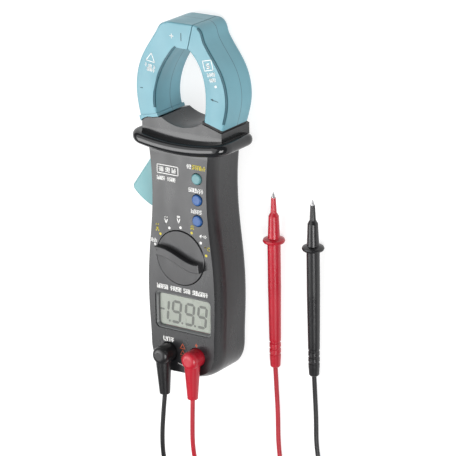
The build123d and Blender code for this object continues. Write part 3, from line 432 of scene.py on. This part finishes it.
def dial_marks(white, yellow):
    """A dot and a function sign at each of the dial's seven positions."""
    for step, (signs, x, y) in enumerate(DIAL_LABELS):
        colour = yellow if step in YELLOW_STEPS else white
        angle = math.radians(DIAL_OFF_ANGLE - step * DIAL_STEP)
        dot_y = DIAL_Y + DIAL_DOTS * math.sin(angle)
        colour.dot(DIAL_DOTS * math.cos(angle), dot_y, 0.75)
        if step in UPRIGHT_STEPS:
            colour.write(signs[:1], x - 0.9, y - 2.2, 2.3, 1.5, pen=0.5)
            colour.write(signs[1:], x - 0.9, y + 0.4, 1.9, 1.5, pen=0.42)
        else:
            width = 1.35 * len(signs) + 0.4
            colour.write(signs, x - width / 2, y - 0.9, 1.9, width, pen=0.45)


def face_marks():
    """Everything printed on the front face. Words are made-up letters, not real ones."""
    white = Print("face_print_white", "case", "white_ink", "white_plastic", FACE_Z)
    yellow = Print("face_print_yellow", "case", "yellow_ink", "white_plastic", FACE_Z)
    orange = Print("face_print_orange", "case", "orange_ink", "white_plastic", FACE_Z)
    dial_marks(white, yellow)
    white.shape([SQUARE], -13.6, 15.6, 13.2, 4.6, 0.4)
    white.write("40 25 31", -12.2, 16.8, 2.2, 10.4)
    white.write("3054 1205", -13.7, 12.0, 1.9, 11.3)
    white.write("15", 5.2, 20.9, 2.0, 2.6)
    yellow.write("24031", 8.8, 20.9, 2.1, 8.0)
    white.write("205341", 6.2, 8.4, 2.0, 9.0)
    white.write("3042", 7.6, -3.1, 1.9, 6.4)
    white.write(TITLE, -15.4, -48.6, 2.2, 32.2)
    white.write("504", -12.1, -77.9, 2.1, 6.4)
    white.stroke([(-3.2, -89.4), (2.2, -90.6)], 0.35)
    orange.write(["plus"], 8.2, -78.0, 1.8, 1.0)
    for low in (-80.6, -84.2):
        orange.shape([TRIANGLE], 0, low, 3.0, 3.0, 0.38)
    orange.write("40", -1.0, -87.2, 1.8, 2.2)
    for layer in (white, yellow, orange):
        layer.finish()


def jaw_marks():
    """Printed and engraved marks on the two jaws."""
    left = Print("left_jaw_print", "jaw", "white_ink", "white_plastic", HEAD_Z)
    left.write(["plus"], -5.9, 88.1, 2.3, 1.5, pen=0.45)
    left.shape([TRIANGLE], -18.6, 74.0, 5.4, 5.0, 0.42, turn=-9)
    left.write("4 25 3", -22.0, 71.3, 1.5, 6.2, turn=-9)
    left.write("2041", -20.9, 69.0, 1.6, 4.6, turn=-9)
    left.finish()
    left_dark = Print("left_jaw_lines", "jaw", "dark_ink", "dark_teal", HEAD_Z)
    left_dark.stroke([(1.05, 87.5), (1.05, 91.3)], 0.42)
    left_dark.stroke([(-25.3, 59.0), (-24.0, 59.0)], 0.4)
    left_dark.finish()
    right = Print("right_jaw_print", "case", "white_ink", "white_plastic", HEAD_Z)
    right.shape([SQUARE], 15.4, 73.4, 5.4, 5.2, 0.4, turn=14)
    right.write("2", 17.0, 74.9, 2.4, 1.7, turn=14)
    right.write("3154", 17.4, 70.6, 1.7, 4.6, turn=14)
    right.write("025", 18.8, 68.0, 1.6, 3.4, turn=14)
    right.dot(22.0, 66.0, 0.7)
    right.finish()
    right_dark = Print("right_jaw_lines", "case", "dark_ink", "dark_teal", HEAD_Z)
    right_dark.stroke([(20.2, 59.2), (19.0, 58.8), (20.2, 58.2)], 0.35)
    right_dark.stroke([(19.0, 58.8), (23.3, 58.0)], 0.35)
    right_dark.finish()


# ---------------------------------------------------------------- display digits
def segment_bar(layer, start, end, thick):
    """One long six-sided segment of a digit."""
    start, end = Vector(start), Vector(end)
    along = (end - start).normalized() * thick / 2
    across = Vector((-along.y, along.x))
    layer.plate([start, start + along - across, end - along - across, end,
                 end - along + across, start + along + across])


def digit(layer, x, low, width, height, bars):
    """A seven-segment digit that leans to the right; bars are named a to g as usual."""
    mid, top = low + height / 2, low + height
    corners = {"top left": (x, top), "top right": (x + width, top), "mid left": (x, mid),
               "mid right": (x + width, mid), "low left": (x, low), "low right": (x + width, low)}
    leaned = {name: Vector((px + (py - low) * DIGIT_LEAN, py)) for name, (px, py) in corners.items()}
    ends = {"a": ("top left", "top right"), "b": ("mid right", "top right"),
            "c": ("low right", "mid right"), "d": ("low left", "low right"),
            "e": ("low left", "mid left"), "f": ("mid left", "top left"),
            "g": ("mid left", "mid right")}
    for bar in bars:
        start, end = (leaned[name] for name in ends[bar])
        inward = (end - start).normalized() * SEGMENT_GAP
        segment_bar(layer, start + inward, end - inward, SEGMENT_WIDTH)


def display_digits():
    """The reading on the display."""
    layer = Print("display_digits", "case", "segment_ink", "display_grey", GLASS_Z)
    segment_bar(layer, (-15.9, -61.4), (-12.8, -61.4), 1.1)
    digit(layer, -14.4, -67.2, 3.2, 11.2, "bc")
    for x in (-8.4, 0.0, 8.0):
        digit(layer, x, -67.4, 5.0, 11.6, "abcdfg")
    for x in (-9.9, -1.7, 6.5):
        layer.dot(x, -67.4, 0.65)
    layer.finish()


# ---------------------------------------------------------------- leads
def coil_points(colour):
    """Turns of a put-away coil: a spiral inwards on the floor, then outwards on top of it."""
    x, y = COIL_CENTRES[colour]
    low, high = COIL_RADII
    turns = COIL_TURNS[colour]
    count = round(turns * POINTS_PER_TURN)
    points = []
    for step in range(1, count):
        share = step / count
        inward = abs(2 * share - 1)
        radius = low + (high - low) * inward
        climb = min(1.0, max(0.0, (share - CLIMB_START) / CLIMB_LENGTH))
        angle = math.radians(COIL_START[colour] + 360 * turns * share)
        z = COIL_FLOOR + (COIL_UPPER - COIL_FLOOR) * climb
        points.append((x + radius * math.cos(angle), y + radius * math.sin(angle), z))
    return points


def coil_tie(colour):
    """Flat strap round the bundle of a put-away coil."""
    x, y = COIL_CENTRES[colour]
    inner, outer = COIL_RADII[0] - TIE_ROOM["inside"], COIL_RADII[1] + TIE_ROOM["outside"]
    low, high = TIE_FLOOR_GAP, COIL_UPPER + TIE_ROOM["above"]
    outline = [(inner, low), (outer, low), (outer, high), (inner, high)]
    mesh = bpy.data.meshes.new(colour + "_lead_tie")
    shape = bmesh.new()
    rings = []
    for side in (-TIE_WIDTH / 2, TIE_WIDTH / 2):
        rings.append([shape.verts.new(((x + r) * MM, (y + side) * MM, z * MM)) for r, z in outline])
    for index in range(len(outline)):
        after = (index + 1) % len(outline)
        shape.faces.new((rings[0][index], rings[0][after], rings[1][after], rings[1][index]))
    shape.to_mesh(mesh)
    shape.free()
    mesh.materials.append(MATERIALS["tie"])
    tie = bpy.data.objects.new(colour + "_lead_tie", mesh)
    bpy.context.collection.objects.link(tie)
    round_off = tie.modifiers.new("round", "BEVEL")
    round_off.width = TIE_ROUNDING * MM
    round_off.segments = 4
    strap = tie.modifiers.new("strap", "SOLIDIFY")
    strap.thickness = TIE_THICK * MM
    strap.offset = -1
    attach(tie, colour + "_lead")
    return tie


def spline_length(curve):
    """Length of a curve object's line, with no thickness."""
    depth = curve.data.bevel_depth
    curve.data.bevel_depth = 0
    mesh = bpy.data.meshes.new_from_object(curve)
    curve.data.bevel_depth = depth
    length = 0.0
    for edge in mesh.edges:
        first, second = edge.vertices
        length += (mesh.vertices[first].co - mesh.vertices[second].co).length
    bpy.data.meshes.remove(mesh)
    return length


def lead(colour):
    """One test lead from its plug, through its coil, to its probe."""
    points = PLUG_ROUTES[colour] + coil_points(colour) + PROBE_ROUTES[colour]
    data = bpy.data.curves.new(colour + "_lead", "CURVE")
    data.dimensions = "3D"
    spline = data.splines.new("NURBS")
    spline.points.add(len(points) - 1)
    for target, point in zip(spline.points, points):
        target.co = (point[0] * MM, point[1] * MM, point[2] * MM, 1)
        target.radius = LEAD_DIAMETER / 2 * MM
    spline.order_u = 3
    spline.use_endpoint_u = True
    spline.resolution_u = 6
    data.bevel_depth = 1    # times each point's radius, which the curve's bounds go by
    data.bevel_resolution = 5
    data.use_fill_caps = True
    data.materials.append(MATERIALS[colour + "_cord"])
    cord = bpy.data.objects.new(colour + "_lead", data)
    bpy.context.collection.objects.link(cord)
    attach(cord, colour + "_lead")
    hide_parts(*[colour + end for end in ("_lead_plug_side", "_lead_coil", "_lead_probe_side")])
    ends = ("_plug", "_plug_pin", "_probe_handle", "_probe_needle")
    on_it = [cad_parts[colour + end] for end in ends] + [coil_tie(colour)]
    length = spline_length(cord)


# ---------------------------------------------------------------- camera, floor and light
CAMERA_TARGET_OFFSET = 0.00866
CAMERA_TARGET_Y = -0.0216
CAMERA_DISTANCE = 1.3858
CAMERA_ANGLES = (34.152, 18.754, -0.994)
CAMERA_LENS = 205.26
FLOOR_HALF = 6
FLOOR_GLOW = 0.74
SURROUND_STRENGTH = 0.14


def add_camera():
    """Camera above the right-hand side, turned towards the jaws, as in the picture."""
    azimuth, elevation, roll = (math.radians(a) for a in CAMERA_ANGLES)
    to_camera = Vector((math.sin(azimuth) * math.cos(elevation), math.sin(elevation),
                        math.cos(azimuth) * math.cos(elevation)))
    level_right = Vector((math.cos(azimuth), 0, -math.sin(azimuth)))
    level_up = to_camera.cross(level_right)
    right = level_right * math.cos(roll) + level_up * math.sin(roll)
    up = level_up * math.cos(roll) - level_right * math.sin(roll)
    data = bpy.data.cameras.new("camera")
    data.lens = CAMERA_LENS
    data.sensor_width = 36
    data.clip_start = 0.05
    data.clip_end = 20
    camera = bpy.data.objects.new("camera", data)
    bpy.context.collection.objects.link(camera)
    eye = to_camera * CAMERA_DISTANCE + level_right * CAMERA_TARGET_OFFSET + Vector((0, CAMERA_TARGET_Y, 0))
    axes = Matrix((right, up, to_camera)).transposed()
    camera.matrix_world = Matrix.Translation(eye) @ axes.to_4x4()
    bpy.context.scene.camera = camera


def add_floor():
    """Pale studio floor, a little larger than anything the camera can see."""
    mesh = bpy.data.meshes.new("floor")
    grid = bmesh.new()
    bmesh.ops.create_grid(grid, x_segments=8, y_segments=8, size=FLOOR_HALF)
    grid.to_mesh(mesh)
    grid.free()
    floor = bpy.data.objects.new("floor", mesh)
    bpy.context.collection.objects.link(floor)
    material, tree, shader = new_material("floor_paper")
    tint = remap(tree, object_noise(tree, 3, 2), 0, 1)
    paper = mix_colours(tree, tint, (0.36, 0.36, 0.36), (0.39, 0.39, 0.39))
    tree.links.new(paper, shader.inputs["Base Color"])
    shader.inputs["Emission Color"].default_value = (1, 1, 1, 1)
    shader.inputs["Emission Strength"].default_value = FLOOR_GLOW
    shader.inputs["Roughness"].default_value = 0.95
    shader.inputs["Specular IOR Level"].default_value = 0.1
    mesh.materials.append(material)


def add_light(name, place, aim, width, power):
    """A square white soft light aimed at a point."""
    data = bpy.data.lights.new(name, "AREA")
    data.shape = "SQUARE"
    data.size = width
    data.energy = power
    light = bpy.data.objects.new(name, data)
    bpy.context.collection.objects.link(light)
    light.location = place
    light.rotation_euler = (Vector(aim) - Vector(place)).to_track_quat("-Z", "Y").to_euler()


def add_lights():
    """A broad soft box and a nearer one on the left, a fill on the right, and a dim surround."""
    add_light("broad", (-0.60, 0.20, 1.25), (0, 0, 0), 1.9, 19)
    add_light("near", (-0.36, -0.09, 0.50), (0, 0.02, 0.02), 0.34, 1.7)
    add_light("fill", (0.75, -0.20, 0.75), (0, 0, 0), 0.5, 8)
    world = bpy.data.worlds.new("surround")
    world.use_nodes = True
    world.node_tree.nodes["Background"].inputs["Color"].default_value = (1, 1, 1, 1)
    world.node_tree.nodes["Background"].inputs["Strength"].default_value = SURROUND_STRENGTH
    bpy.context.scene.world = world


dress_nodes()
face_marks()
jaw_marks()
display_digits()
for lead_colour in ("red", "black"):
    lead(lead_colour)
add_camera()
add_floor()
add_lights()
bpy.context.scene.view_settings.view_transform = "Standard"
